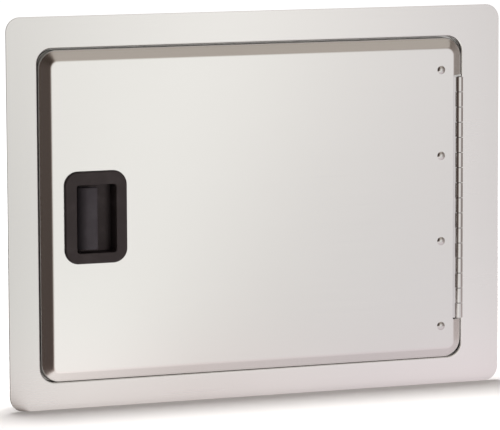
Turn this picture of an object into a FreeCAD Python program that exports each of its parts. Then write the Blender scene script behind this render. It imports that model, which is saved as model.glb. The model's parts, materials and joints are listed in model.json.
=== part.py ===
import FreeCAD, Part
import math
import os

import Sketcher
from FreeCAD import Placement, Rotation, Vector

# Stainless access door for a barbecue island: a face frame with a collar that goes into the wall cut-out,
# a raised door pan on a continuous hinge, and a moulded paddle latch whose bolt sits behind a strike.
# X runs from the latch side to the hinge side, Y goes back into the island, Z is up.
# The origin is the centre of the frame's outline, on the wall surface that the flange lies on.

doc = FreeCAD.newDocument("island_access_door")
sheet = doc.addObject("Spreadsheet::Sheet", "Sizes")

SIZES = [
    # face frame
    ("FrameWidth", 584.0, "overall width of the flange"),
    ("FrameHeight", 432.0, "overall height of the flange"),
    ("FrameCorner", 16.0, "outer corner radius of the flange"),
    ("FlangeLatch", 35.0, "flange width beside the latch edge"),
    ("FlangeHinge", 46.2, "flange width beside the hinge edge"),
    ("FlangeTop", 34.7, "flange width above the door"),
    ("FlangeBottom", 30.0, "flange width below the door"),
    ("FrameSheet", 1.2, "sheet thickness of the frame"),
    ("OpeningCorner", 17.0, "corner radius of the opening"),
    ("CollarDepth", 40.0, "how far the collar goes back behind the wall surface"),
    ("CollarBend", 1.8, "outside radius where the flange turns into the collar"),
    ("FlangeEdge", 0.35, "rounding of the flange's outer edge"),
    ("WallScrewHole", 2.75, "radius of the screw holes in the collar"),
    ("WallScrewDepth", 31.0, "how far behind the wall surface those holes lie"),
    ("WallScrewSpan", 220.0, "height between the two holes on each side"),
    # door pan
    ("DoorGap", 1.1, "gap between the collar and the pan, when the pan is in the middle"),
    ("DoorHang", 0.7, "how far the pan hangs below the opening's middle"),
    ("PanCorner", 20.0, "corner radius of the pan"),
    ("DoorSheet", 1.2, "sheet thickness of the door"),
    ("DoorProud", 9.0, "height of the door's face above the flange"),
    ("SlopeRun", 11.4, "plan width of the sloped border"),
    ("PanBack", 9.8, "how far behind the wall surface the pan ends"),
    ("LipWidth", 11.0, "width of the return lip at the pan's back"),
    ("FaceBend", 5.0, "outside radius between the face and the slope"),
    ("FootBend", 3.0, "outside radius between the slope and the side wall"),
    ("BackBend", 2.4, "outside radius between the side wall and the lip"),
    ("StiffenerWidth", 62.0, "overall width of the hat channel behind the face"),
    ("StiffenerCrown", 26.0, "width of its crown"),
    ("StiffenerDepth", 13.0, "how far the crown stands off the face"),
    ("StiffenerMargin", 32.0, "distance of its ends from the pan's outline"),
    ("StiffenerPlace", 0.54, "its place across the opening, as a share of the width"),
    # continuous hinge
    ("PinRadius", 2.5, "radius of the hinge pin"),
    ("PinClearance", 0.05, "radial running clearance of the pin"),
    ("LeafThickness", 2.0, "thickness of both leaves"),
    ("KnucklePitch", 17.25, "length of one knuckle with its gap"),
    ("KnuckleGap", 0.8, "gap between neighbouring knuckles"),
    ("KnuckleRelief", 0.5, "gap between a knuckle and the other leaf"),
    ("HingeInset", 1.25, "how far the barrel stands off the collar"),
    ("HingeMargin", 45.6, "least distance from the opening's end to the barrel"),
    ("NotchClearance", 1.8, "gap between the barrel's end and the notch in the pan"),
    ("NotchCorner", 3.0, "corner radius of that notch"),
    ("DoorLeafWidth", 32.75, "width of the door leaf from the hinge axis"),
    ("LeafOverhang", 16.0, "how far the door leaf runs past the barrel"),
    ("FrameLeafDepth", 24.0, "depth of the frame leaf from the hinge axis"),
    ("RivetInset", 22.85, "distance of the door rivets from the hinge axis"),
    ("RivetEnd", 7.9, "distance of the end rivets from the leaf's end"),
    ("RivetHead", 4.75, "radius of a rivet's dome"),
    ("RivetDome", 2.3, "height of a rivet's dome"),
    ("RivetShank", 2.4, "radius of a rivet's shank"),
    ("RivetHollow", 0.7, "radius of the dimple in a rivet's crown"),
    ("RivetCore", 1.2, "radius of the stem that fills a rivet's middle"),
    ("RivetTail", 3.6, "radius of a rivet's formed end"),
    ("RivetTailHeight", 2.0, "height of a rivet's formed end"),
    ("FrameRivetEnd", 13.0, "distance of the frame leaf's end rivets from the barrel's end"),
    ("FrameRivetPlace", 15.0, "distance of the frame rivets behind the hinge axis"),
    # stops, strike and bumpers
    ("StopSheet", 1.2, "sheet thickness of the stop angles"),
    ("StopFront", 12.8, "how far behind the wall surface the stop's front lies"),
    ("StopReach", 14.0, "how far the stop reaches into the opening"),
    ("StopLeg", 14.0, "length of the leg welded to the collar"),
    ("StopEnd", 4.0, "distance from the stop's end to the corner's start"),
    ("StrikeSheet", 1.5, "thickness of the strike plate"),
    ("StrikeHeight", 64.0, "height of the strike plate"),
    ("StrikeWidth", 11.0, "width of the strike plate"),
    ("StrikeScrewSpan", 44.0, "height between the strike's two screws"),
    ("StrikeScrew", 2.0, "radius of the strike's screws"),
    ("BumperRadius", 4.5, "radius of a door bumper"),
    ("BumperRelief", 0.25, "gap left between a bumper and the door's lip"),
    ("BumperStem", 2.0, "radius of a bumper's stem"),
    ("BumperSpan", 250.0, "height between the two bumpers beside the latch"),
    ("BumperPlace", 64.0, "distance of the other bumpers from the hinge edge"),
    # latch housing
    ("LatchInset", 62.2, "distance of the latch's centre from the opening's edge"),
    ("LatchDrop", 1.9, "how far the bezel's centre lies below the opening's"),
    ("RecessDrop", 1.5, "how far the recess's centre lies below the bezel's"),
    ("BezelWidth", 71.0, "width of the latch bezel"),
    ("BezelHeight", 101.2, "height of the latch bezel"),
    ("BezelCorner", 15.5, "corner radius of the bezel"),
    ("BezelThickness", 3.0, "thickness of the bezel"),
    ("BezelEdge", 1.6, "rounding of the bezel's front edge"),
    ("GasketThickness", 0.6, "thickness of the gasket under the bezel"),
    ("GasketMargin", 0.4, "how far the gasket shows past the bezel"),
    ("RecessWidth", 45.3, "width of the finger recess"),
    ("RecessHeight", 75.3, "height of the finger recess"),
    ("RecessShift", 0.4, "offset of the recess towards the hinge"),
    ("RecessCorner", 3.2, "corner radius of the recess"),
    ("RecessEdge", 0.9, "rounding of the recess mouth"),
    ("CupDepth", 21.6, "depth of the recess from the bezel's front"),
    ("CupWall", 2.4, "wall thickness of the cup"),
    ("CutoutClearance", 0.6, "gap between the cup and the door's cut-out"),
    ("SlideLength", 40.0, "length of the raised slide behind the cup"),
    # clamp ring and its studs
    ("ClampSheet", 1.5, "thickness of the clamp ring"),
    ("ClampMargin", 3.0, "how far the clamp ring stays inside the bezel's outline"),
    ("StudRadius", 1.5, "radius of the studs"),
    ("StudInset", 6.2, "distance of the studs from the bezel's long edges"),
    ("StudSpan", 62.0, "height between the studs"),
    ("StudBite", 2.0, "how deep the studs sit in the bezel"),
    ("NutFlats", 5.5, "width across the flats of the nuts"),
    ("NutHeight", 2.4, "height of the nuts"),
    # paddle
    ("PaddleHeight", 68.6, "height of the paddle"),
    ("PaddleWidth", 19.2, "width from the paddle's pivot to its free edge"),
    ("PivotInset", 5.5, "distance of the pivot from the recess's edge"),
    ("PivotDepth", 10.2, "distance of the pivot behind the bezel's front"),
    ("PaddleCrest", 1.8, "distance of the paddle's crest behind the bezel's front"),
    ("PaddleWall", 3.4, "thickness of the paddle at its free edge"),
    ("PaddlePin", 1.5, "radius of the paddle's pin"),
    ("PaddlePinPlay", 0.06, "radial running clearance of that pin"),
    ("PaddlePinSeat", 1.6, "how deep the pin sits in the cup's walls"),
    ("PaddleBoss", 3.1, "outside radius of the paddle's pivot boss"),
    ("ArmWidth", 8.0, "height of the arm that moves the bolt"),
    ("ArmThickness", 3.0, "thickness of the arm"),
    ("ArmTip", 2.0, "radius of the arm's rounded tip"),
    ("ArmPlay", 0.5, "gap between the arm and the slots it moves in"),
    # bolt, its guide and its spring
    ("BoltHeight", 20.0, "height of the bolt"),
    ("BoltThickness", 6.0, "thickness of the bolt"),
    ("BoltThrow", 8.2, "how far the bolt slides"),
    ("BoltEngage", 7.4, "how far the bolt reaches behind the strike"),
    ("BoltRamp", 4.2, "how much of the bolt's thickness its ramp takes"),
    ("BoltPlay", 0.3, "gap around the bolt in its guide"),
    ("BoltTail", 4.0, "length of the bolt behind its window"),
    ("GuideSheet", 1.5, "sheet thickness of the bolt guide"),
    ("GuideFoot", 9.0, "width of the guide's feet"),
    ("GuideScrew", 1.5, "radius of the guide's screws"),
    ("GuideScrewSpan", 30.0, "distance between the guide's screws along the bolt"),
    ("GuideScrewHead", 2.8, "radius of a screw's head"),
    ("GuideScrewHeadHeight", 1.6, "height of a screw's head"),
    ("SpringWire", 0.7, "wire diameter of the bolt spring"),
    ("SpringRadius", 2.1, "mean radius of its turns"),
    ("SpringTurns", 8.0, "number of turns"),
]

for row, (alias, number, meaning) in enumerate(SIZES, start=1):
    sheet.set(f"A{row}", meaning)
    sheet.set(f"B{row}", str(number))
    sheet.setAlias(f"B{row}", alias)
doc.recompute()


# Lengths that follow from the sheet, written as expressions of its cells. Z is measured on the opening's
# centre line, "front" counts from the wall surface towards the viewer.

def cell(alias):
    return "Sizes." + alias


def number(expression):
    """The value that an expression has now."""
    found = sheet.evalExpression(str(expression))
    return float(getattr(found, "Value", found))


def text(*parts):
    return "(" + " ".join(str(p) for p in parts) + ")"


OPEN_LEFT = text("-", cell("FrameWidth"), "/ 2 +", cell("FlangeLatch"))
OPEN_RIGHT = text(cell("FrameWidth"), "/ 2 -", cell("FlangeHinge"))
OPEN_TOP = text(cell("FrameHeight"), "/ 2 -", cell("FlangeTop"))
OPEN_BOTTOM = text("-", cell("FrameHeight"), "/ 2 +", cell("FlangeBottom"))
MIDDLE = text("(", OPEN_TOP, "+", OPEN_BOTTOM, ") / 2")

PAN_LEFT = text(OPEN_LEFT, "+", cell("DoorGap"))
PAN_RIGHT = text(OPEN_RIGHT, "-", cell("DoorGap"))
PAN_TOP = text(OPEN_TOP, "-", cell("DoorGap"), "-", cell("DoorHang"))
PAN_BOTTOM = text(OPEN_BOTTOM, "+", cell("DoorGap"), "-", cell("DoorHang"))
PAN_CORNER = cell("PanCorner")
FACE_FRONT = text(cell("FrameSheet"), "+", cell("DoorProud"))
FACE_BACK = text(FACE_FRONT, "-", cell("DoorSheet"))
SLOPE = text("atan(", cell("DoorProud"), "/", cell("SlopeRun"), ")")

BORE_RADIUS = text(cell("PinRadius"), "+", cell("PinClearance"))
BARREL_RADIUS = text(BORE_RADIUS, "+", cell("LeafThickness"))
AXIS_X = text(OPEN_RIGHT, "-", cell("HingeInset"), "-", BARREL_RADIUS)
AXIS_FRONT = text(FACE_BACK, "-", cell("LeafThickness"), "/ 2")
KNUCKLE_PAIRS = text("floor((", OPEN_TOP, "-", OPEN_BOTTOM, "- 2 *", cell("HingeMargin"), "+ 0.2 ) /",
                     "(2 *", cell("KnucklePitch"), "))")
BARREL_LENGTH = text(KNUCKLE_PAIRS, "* 2 *", cell("KnucklePitch"))
KNUCKLE_LENGTH = text(cell("KnucklePitch"), "-", cell("KnuckleGap"))
BARREL_BOTTOM = text(MIDDLE, "-", BARREL_LENGTH, "/ 2")
LEAF_HALF = text(BARREL_LENGTH, "/ 2 +", cell("LeafOverhang"))
NOTCH_EDGE = text(PAN_RIGHT, "-", cell("SlopeRun"), "-", cell("FaceBend"), "* tan(", SLOPE, "/ 2)")
FRAME_RIVET_SPAN = text(BARREL_LENGTH, "- 2 *", cell("FrameRivetEnd"))
RIVET_PITCH = text("(2 *", LEAF_HALF, "- 2 *", cell("RivetEnd"), ") / 3")

STOP_FRONT = text("-", cell("StopFront"))
STOP_BACK = text(STOP_FRONT, "-", cell("StopSheet"))

BEZEL_BACK = text(FACE_FRONT, "+", cell("GasketThickness"))
BEZEL_FRONT = text(BEZEL_BACK, "+", cell("BezelThickness"))
LATCH_X = text(OPEN_LEFT, "+", cell("LatchInset"))
LATCH_Z = text(MIDDLE, "-", cell("LatchDrop"))
BOLT_Z = text(LATCH_Z, "-", cell("RecessDrop"))
RECESS_X = text(LATCH_X, "+", cell("RecessShift"))
RECESS_LEFT = text(RECESS_X, "-", cell("RecessWidth"), "/ 2")
RECESS_FLOOR = text(BEZEL_FRONT, "-", cell("CupDepth"))
CUP_BACK = text(RECESS_FLOOR, "-", cell("CupWall"))
PIVOT_X = text(RECESS_LEFT, "+", cell("PivotInset"))
PIVOT_FRONT = text(BEZEL_FRONT, "-", cell("PivotDepth"))

STRIKE_BACK = text(STOP_BACK, "-", cell("StrikeSheet"))
BOLT_FRONT = text(STRIKE_BACK, "-", cell("BoltPlay"))
BOLT_BACK = text(BOLT_FRONT, "-", cell("BoltThickness"))
BOLT_MIDDLE = text("(", BOLT_FRONT, "+", BOLT_BACK, ") / 2")
GUIDE_FRONT = text(BOLT_BACK, "-", cell("BoltPlay"))
GUIDE_BACK = text(GUIDE_FRONT, "-", cell("GuideSheet"))
BOLT_TIP = text(OPEN_LEFT, "+", cell("StopReach"), "-", cell("BoltEngage"))
WINDOW_HALF = text(cell("ArmTip"), "+", cell("ArmPlay"))
BOLT_END = text(PIVOT_X, "+", WINDOW_HALF, "+", cell("BoltTail"))
SLIDE_LEFT = text(RECESS_LEFT, "-", cell("CupWall"), "+ 1")
SLIDE_RIGHT = text(SLIDE_LEFT, "+", cell("SlideLength"))

PLANES = {"front": "XZ_Plane", "side": "YZ_Plane", "plan": "XY_Plane"}


# Helpers that make sketches whose every measure is bound to the sheet.

def body(label):
    made = doc.addObject("PartDesign::Body", label)
    made.Label = label
    return made


def sketch(owner, name, plane, offset="0", across="0", up="0"):
    """A sketch on one of the body's own planes. Front: x, z, and the offset counts towards the viewer.
    Side: y, z, offset along x. Plan: x, y, offset along z. Across and up move the sketch's own origin."""
    made = owner.newObject("Sketcher::SketchObject", name)
    for feature in owner.Origin.OriginFeatures:
        if feature.Role == PLANES[plane]:
            made.AttachmentSupport = (feature, "")
    made.MapMode = "FlatFace"
    made.setExpression("AttachmentOffset.Base.z", str(offset))
    made.setExpression("AttachmentOffset.Base.x", str(across))
    made.setExpression("AttachmentOffset.Base.y", str(up))
    return made


def bind(drawn, index, name, expression):
    drawn.renameConstraint(index, name)
    drawn.setExpression("Constraints." + name, str(expression))


def place_point(drawn, geometry, end, x, y):
    """Ties one point of the sketch to a place given by two expressions."""
    tag = f"{geometry}_{end}".replace("-", "n")
    for kind, letter, where in (("DistanceX", "x", x), ("DistanceY", "y", y)):
        index = drawn.addConstraint(
            Sketcher.Constraint(kind, -1, 1, geometry, end, number(where)))
        bind(drawn, index, f"{letter}{tag}", where)


def outline(drawn, points):
    """A closed outline of straight lines through points given as pairs of expressions."""
    spots = [Vector(number(x), number(y), 0) for x, y in points]
    first = drawn.GeometryCount
    total = len(points)
    for i in range(total):
        drawn.addGeometry(Part.LineSegment(spots[i], spots[(i + 1) % total]), False)
    for i in range(total):
        drawn.addConstraint(
            Sketcher.Constraint("Coincident", first + i, 2, first + (i + 1) % total, 1))
    for i, (x, y) in enumerate(points):
        place_point(drawn, first + i, 1, x, y)


def rectangle(drawn, left, right, bottom, top):
    outline(drawn, [(left, bottom), (right, bottom), (right, top), (left, top)])


def circle(drawn, x, y, radius):
    index = drawn.addGeometry(
        Part.Circle(Vector(number(x), number(y), 0), Vector(0, 0, 1), number(radius)), False)
    place_point(drawn, index, 3, x, y)
    bound = drawn.addConstraint(Sketcher.Constraint("Radius", index, number(radius)))
    bind(drawn, bound, f"r{index}", radius)


def rounded(drawn, left, right, bottom, top, radius):
    """A rectangle with four equal round corners, its sides and radius given by expressions."""
    low_x, high_x, low_y, high_y, r = (number(v) for v in (left, right, bottom, top, radius))
    first = drawn.GeometryCount
    corners = [
        (high_x - r, low_y + r, -90),
        (high_x - r, high_y - r, 0),
        (low_x + r, high_y - r, 90),
        (low_x + r, low_y + r, 180),
    ]
    sides = [
        ((low_x + r, low_y), (high_x - r, low_y)),
        ((high_x, low_y + r), (high_x, high_y - r)),
        ((high_x - r, high_y), (low_x + r, high_y)),
        ((low_x, high_y - r), (low_x, low_y + r)),
    ]
    for (start, stop), (x, y, turn) in zip(sides, corners):
        drawn.addGeometry(Part.LineSegment(Vector(*start, 0), Vector(*stop, 0)), False)
        arc = Part.ArcOfCircle(
            Part.Circle(Vector(x, y, 0), Vector(0, 0, 1), r),
            math.radians(turn), math.radians(turn + 90))
        drawn.addGeometry(arc, False)
    for i in range(4):
        line, arc, following = first + 2 * i, first + 2 * i + 1, first + (2 * i + 2) % 8
        drawn.addConstraint(Sketcher.Constraint("Tangent", line, 2, arc, 1))
        drawn.addConstraint(Sketcher.Constraint("Tangent", arc, 2, following, 1))
        drawn.addConstraint(
            Sketcher.Constraint("Horizontal" if i % 2 == 0 else "Vertical", line))
        if i:
            drawn.addConstraint(Sketcher.Constraint("Equal", first + 1, arc))
    bound = drawn.addConstraint(Sketcher.Constraint("Radius", first + 1, r))
    bind(drawn, bound, f"r{first}", radius)
    for kind, geometry, side, name in (
            ("DistanceY", first, bottom, "bottom"), ("DistanceX", first + 2, right, "right"),
            ("DistanceY", first + 4, top, "top"), ("DistanceX", first + 6, left, "left")):
        bound = drawn.addConstraint(
            Sketcher.Constraint(kind, -1, 1, geometry, 1, number(side)))
        bind(drawn, bound, f"{name}{first}", side)


def inset(sides, by):
    """The expressions of a rectangle's sides, each moved inwards."""
    left, right, bottom, top = sides
    return (text(left, "+", by), text(right, "-", by), text(bottom, "+", by), text(top, "-", by))


def pad(owner, name, drawn, length, both_ways=False, backwards=False):
    made = owner.newObject("PartDesign::Pad", name)
    made.Profile = drawn
    made.Midplane = both_ways
    made.Reversed = backwards
    made.setExpression("Length", str(length))
    owner.Tip = made
    doc.recompute()
    return made


def pocket(owner, name, drawn, length, both_ways=False, backwards=False):
    """Cuts along the sketch's own normal, or against it if backwards. It has to take something away."""
    before = owner.Shape.Volume
    made = owner.newObject("PartDesign::Pocket", name)
    made.Profile = drawn
    made.Midplane = both_ways
    made.Reversed = not backwards
    made.setExpression("Length", str(length))
    owner.Tip = made
    doc.recompute()
    if not made.Shape.Volume < before - 0.01:
        raise RuntimeError(f"{owner.Label}: {name} takes nothing away")
    return made


def repeat(owner, name, features, span, count):
    """Repeats features upwards. The span is the distance from the first to the last."""
    made = owner.newObject("PartDesign::LinearPattern", name)
    made.Originals = features
    for found in owner.Origin.OriginFeatures:
        if found.Role == "Z_Axis":
            made.Direction = (found, [""])
    made.setExpression("Length", str(span))
    made.setExpression("Occurrences", str(count))
    owner.Tip = made
    doc.recompute()


def edges_where(owner, test):
    """Names of the edges of a body's present shape whose every point passes the test."""
    names = []
    for i, edge in enumerate(owner.Tip.Shape.Edges, start=1):
        low, high = edge.ParameterRange
        points = [edge.valueAt(low + (high - low) * s) for s in (0.0, 0.31, 0.5, 0.77, 1.0)]
        if all(test(p) for p in points):
            names.append(f"Edge{i}")
    if not names:
        raise RuntimeError(f"{owner.Label}: no edge to round")
    return names


def round_edges(owner, name, names, radius):
    base = owner.Tip
    made = owner.newObject("PartDesign::Fillet", name)
    made.Base = (base, names)
    made.setExpression("Radius", str(radius))
    owner.Tip = made
    doc.recompute()
    return made


def outside(p, sides, corner):
    """How far a point's x and z lie outside a rounded rectangle (negative inside)."""
    left, right, bottom, top = sides
    centre_x, centre_z = (left + right) / 2, (bottom + top) / 2
    dx = abs(p.x - centre_x) - ((right - left) / 2 - corner)
    dz = abs(p.z - centre_z) - ((top - bottom) / 2 - corner)
    return math.hypot(max(dx, 0), max(dz, 0)) + min(max(dx, dz), 0) - corner


def on_loop(sides, corner, front):
    """A test for the edges that run along a rounded rectangle at one depth."""
    numbers = [number(s) for s in sides]
    radius, depth = number(corner), -number(front)
    return lambda p: abs(p.y - depth) < 0.02 and abs(outside(p, numbers, radius)) < 0.02


OPENING = (OPEN_LEFT, OPEN_RIGHT, OPEN_BOTTOM, OPEN_TOP)
PAN = (PAN_LEFT, PAN_RIGHT, PAN_BOTTOM, PAN_TOP)
BEZEL = (
    text(LATCH_X, "-", cell("BezelWidth"), "/ 2"), text(LATCH_X, "+", cell("BezelWidth"), "/ 2"),
    text(LATCH_Z, "-", cell("BezelHeight"), "/ 2"), text(LATCH_Z, "+", cell("BezelHeight"), "/ 2"))
RECESS = (
    RECESS_LEFT, text(RECESS_LEFT, "+", cell("RecessWidth")),
    text(BOLT_Z, "-", cell("RecessHeight"), "/ 2"), text(BOLT_Z, "+", cell("RecessHeight"), "/ 2"))


# Face frame

def make_face_frame():
    frame = body("face_frame")
    flange = sketch(frame, "flange_outline", "front")
    outer = (text("-", cell("FrameWidth"), "/ 2"), text(cell("FrameWidth"), "/ 2"),
             text("-", cell("FrameHeight"), "/ 2"), text(cell("FrameHeight"), "/ 2"))
    rounded(flange, *outer, cell("FrameCorner"))
    rounded(flange, *OPENING, cell("OpeningCorner"))
    pad(frame, "flange", flange, cell("FrameSheet"))
    collar = sketch(frame, "collar_outline", "front")
    collar_corner = text(cell("OpeningCorner"), "+", cell("FrameSheet"))
    rounded(collar, *inset(OPENING, text("-", cell("FrameSheet"))), collar_corner)
    rounded(collar, *OPENING, cell("OpeningCorner"))
    pad(frame, "collar", collar, cell("CollarDepth"), backwards=True)
    round_edges(frame, "opening_bend",
                edges_where(frame, on_loop(OPENING, cell("OpeningCorner"), cell("FrameSheet"))),
                cell("CollarBend"))
    round_edges(frame, "flange_edge",
                edges_where(frame, on_loop(outer, cell("FrameCorner"), cell("FrameSheet"))),
                cell("FlangeEdge"))
    holes = sketch(frame, "wall_screw_holes", "side", text("-", cell("FrameWidth"), "/ 2"))
    for sign in ("-", "+"):
        height = text(MIDDLE, sign, cell("WallScrewSpan"), "/ 2")
        circle(holes, cell("WallScrewDepth"), height, cell("WallScrewHole"))
    pocket(frame, "wall_screws", holes, cell("FrameWidth"))
    cut_frame_rivet_holes(frame)
    return frame


def frame_rivet_places():
    y = text("-", AXIS_FRONT, "+", cell("FrameRivetPlace"))
    return [(y, text(MIDDLE, "+", FRAME_RIVET_SPAN, "*", share)) for share in (-0.5, 0, 0.5)]


def cut_frame_rivet_holes(owner):
    holes = sketch(owner, "leaf_rivet_holes", "side", text(OPEN_RIGHT, "-", cell("LeafThickness"), "- 1"))
    for y, z in frame_rivet_places():
        circle(holes, y, z, cell("RivetShank"))
    reach = text(cell("LeafThickness"), "+", cell("FrameSheet"), "+ 3")
    pocket(owner, "leaf_rivets", holes, reach)


# Stop angles, strike and bumpers

def make_stop(label, plane, profile, offset, length, cuts):
    """An angle section drawn across its own length, with holes cut through its front leg."""
    stop = body(label)
    section = sketch(stop, "section", plane, offset)
    outline(section, profile)
    pad(stop, "angle", section, length, both_ways=True)
    if cuts:
        holes = sketch(stop, "holes", "front", text(STOP_BACK, "- 1"))
        for x, z, radius in cuts:
            circle(holes, x, z, radius)
        pocket(stop, "bored", holes, text(cell("StopSheet"), "+ 2"))
    return stop


def angle_profile(wall, inwards, swap):
    """Corner points of an angle whose long leg lies on a wall of the opening."""
    front, back = cell("StopFront"), text(cell("StopFront"), "+", cell("StopLeg"))
    sheet_back = text(front, "+", cell("StopSheet"))
    skin = text(wall, inwards, cell("StopSheet"))
    reach = text(wall, inwards, cell("StopReach"))
    points = [(wall, front), (reach, front), (reach, sheet_back), (skin, sheet_back), (skin, back),
              (wall, back)]
    return [(b, a) for a, b in points] if swap else points


def bumper_places():
    beside_latch = text(OPEN_LEFT, "+", cell("StopReach"), "/ 2 + 0.3")
    beside_hinge = text(OPEN_RIGHT, "-", cell("BumperPlace"))
    half = text(cell("BumperSpan"), "/ 2")
    edge = text(cell("StopReach"), "/ 2 + 0.3")
    return {
        "latch": [(beside_latch, text(MIDDLE, "-", half)), (beside_latch, text(MIDDLE, "+", half))],
        "top": [(beside_hinge, text(OPEN_TOP, "-", edge))],
        "bottom": [(beside_hinge, text(OPEN_BOTTOM, "+", edge))],
    }


def strike_x():
    return text(OPEN_LEFT, "+", cell("StopReach"), "-", cell("StrikeWidth"), "/ 2")


def strike_screw_places():
    half = text(cell("StrikeScrewSpan"), "/ 2")
    return [(strike_x(), text(BOLT_Z, sign, half)) for sign in ("-", "+")]


def make_stops():
    bumpers = bumper_places()
    straight = text(cell("OpeningCorner"), "+", cell("StopEnd"))
    width = text(OPEN_RIGHT, "-", OPEN_LEFT, "- 2 *", straight)
    height = text(OPEN_TOP, "-", OPEN_BOTTOM, "- 2 *", straight)
    centre_x = text("(", OPEN_LEFT, "+", OPEN_RIGHT, ") / 2")
    stem = cell("BumperStem")
    for label, wall, inwards in (("stop_top", OPEN_TOP, "-"), ("stop_bottom", OPEN_BOTTOM, "+")):
        cuts = [(x, z, stem) for x, z in bumpers[label.split("_")[1]]]
        make_stop(label, "side", angle_profile(wall, inwards, True), centre_x, width, cuts)
    cuts = [(x, z, stem) for x, z in bumpers["latch"]]
    cuts += [(x, z, cell("StrikeScrew")) for x, z in strike_screw_places()]
    make_stop("stop_latch", "plan", angle_profile(OPEN_LEFT, "+", False), MIDDLE, height, cuts)


def make_strike():
    strike = body("strike_plate")
    plate = sketch(strike, "plate_outline", "front", STRIKE_BACK)
    half = text(cell("StrikeWidth"), "/ 2")
    tall = text(cell("StrikeHeight"), "/ 2")
    rounded(plate, text(strike_x(), "-", half), text(strike_x(), "+", half),
            text(BOLT_Z, "-", tall), text(BOLT_Z, "+", tall), 2)
    for x, z in strike_screw_places():
        circle(plate, x, z, cell("StrikeScrew"))
    pad(strike, "plate", plate, cell("StrikeSheet"))


def stack(owner, plane, places, layers):
    """Coaxial discs at several places at once. Each layer is its radius and its two ends along the axis."""
    for i, (radius, start, end) in enumerate(layers, start=1):
        drawn = sketch(owner, f"layer_{i}_outline", plane, start)
        for across, up in places:
            circle(drawn, across, up, radius)
        pad(owner, f"layer_{i}", drawn, text(end, "-", start))


def round_rims(owner, name, radius, ends, by):
    """Rounds the circular edges of a given radius whose centres lie at one of the given depths."""
    wanted, depths = number(radius), [-number(e) for e in ends]
    names = []
    for i, edge in enumerate(owner.Tip.Shape.Edges, start=1):
        if edge.Curve.TypeId == "Part::GeomCircle" and abs(edge.Curve.Radius - wanted) < 0.001:
            if any(abs(edge.Curve.Center.y - depth) < 0.001 for depth in depths):
                names.append(f"Edge{i}")
    round_edges(owner, name, names, by)


def make_strike_screws():
    """Low round heads in front of the stop and closed nuts behind the strike, each drawn as one piece."""
    screws = body("strike_screws")
    head_front, nut_back = text(STOP_FRONT, "+ 1.6"), text(STRIKE_BACK, "- 2.4")
    stack(screws, "front", strike_screw_places(),
          [(cell("StrikeScrew"), STRIKE_BACK, STOP_FRONT), (3.4, STOP_FRONT, head_front),
           (3.2, nut_back, STRIKE_BACK)])
    round_rims(screws, "head_rims", 3.4, [head_front], 0.9)


def make_bumpers():
    """Soft buttons pushed into the stops, each held by a wider stem behind."""
    bumpers = body("bumpers")
    lip = text("-", cell("PanBack"), "-", cell("BumperRelief"))
    stem, barb_back = cell("BumperStem"), text(STOP_BACK, "- 2.2")
    found = bumper_places()
    stack(bumpers, "front", found["latch"] + found["top"] + found["bottom"],
          [(stem, STOP_BACK, STOP_FRONT), (cell("BumperRadius"), STOP_FRONT, lip),
           (text(stem, "+ 0.9"), barb_back, STOP_BACK)])
    round_rims(bumpers, "button_rims", cell("BumperRadius"), [lip], 0.7)
    round_rims(bumpers, "barb_rims", text(stem, "+ 0.9"), [barb_back], 0.8)


# Door pan

def border_profile():
    """Section of the pan's border on the centre plane: y across, z up from the pan's bottom edge."""
    skin = cell("DoorSheet")
    back = cell("PanBack")
    foot = text("-", cell("FrameSheet"))
    front, behind = text("-", FACE_FRONT), text("-", FACE_BACK)
    run = cell("SlopeRun")
    inner_run = text(run, "+", skin, "* tan(", SLOPE, "/ 2)")
    inner_foot = text(foot, "+", skin, "* tan(45 deg -", SLOPE, "/ 2)")
    inner_end = text(run, "+ 1.2")
    heights = [(back, 0), (foot, 0), (front, run), (front, inner_end), (behind, inner_end),
               (behind, inner_run), (inner_foot, skin), (text(back, "-", skin), skin),
               (text(back, "-", skin), cell("LipWidth")), (back, cell("LipWidth"))]
    return [(y, text(PAN_BOTTOM, "+", height)) for y, height in heights]


def closed_path(drawn, sides, corner):
    """A rounded rectangle that starts in the middle of its bottom side, where the section stands."""
    left, right, bottom, top = (number(s) for s in sides)
    r = number(corner)
    corners = [(right - r, bottom + r, -90), (right - r, top - r, 0), (left + r, top - r, 90),
               (left + r, bottom + r, 180)]
    lines = [((0, bottom), (right - r, bottom)), ((right, bottom + r), (right, top - r)),
             ((right - r, top), (left + r, top)), ((left, top - r), (left, bottom + r)),
             ((left + r, bottom), (0, bottom))]
    for i, (start, stop) in enumerate(lines):
        drawn.addGeometry(Part.LineSegment(Vector(*start, 0), Vector(*stop, 0)), False)
        if i < 4:
            x, y, turn = corners[i]
            drawn.addGeometry(
                Part.ArcOfCircle(Part.Circle(Vector(x, y, 0), Vector(0, 0, 1), r),
                                 math.radians(turn), math.radians(turn + 90)), False)
    for i in range(4):
        drawn.addConstraint(Sketcher.Constraint("Tangent", 2 * i, 2, 2 * i + 1, 1))
        drawn.addConstraint(Sketcher.Constraint("Tangent", 2 * i + 1, 2, 2 * i + 2, 1))
        drawn.addConstraint(
            Sketcher.Constraint("Horizontal" if i % 2 == 0 else "Vertical", 2 * i))
        if i:
            drawn.addConstraint(Sketcher.Constraint("Equal", 1, 2 * i + 1))
    drawn.addConstraint(Sketcher.Constraint("Coincident", 8, 2, 0, 1))
    drawn.addConstraint(Sketcher.Constraint("PointOnObject", 0, 1, -2))
    bound = drawn.addConstraint(Sketcher.Constraint("Radius", 1, r))
    bind(drawn, bound, "corner", corner)
    for kind, geometry, side, name in (
            ("DistanceY", 0, sides[2], "bottom"), ("DistanceX", 2, sides[1], "right"),
            ("DistanceY", 4, sides[3], "top"), ("DistanceX", 6, sides[0], "left")):
        bound = drawn.addConstraint(
            Sketcher.Constraint(kind, -1, 1, geometry, 1, number(side)))
        bind(drawn, bound, name, side)


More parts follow.
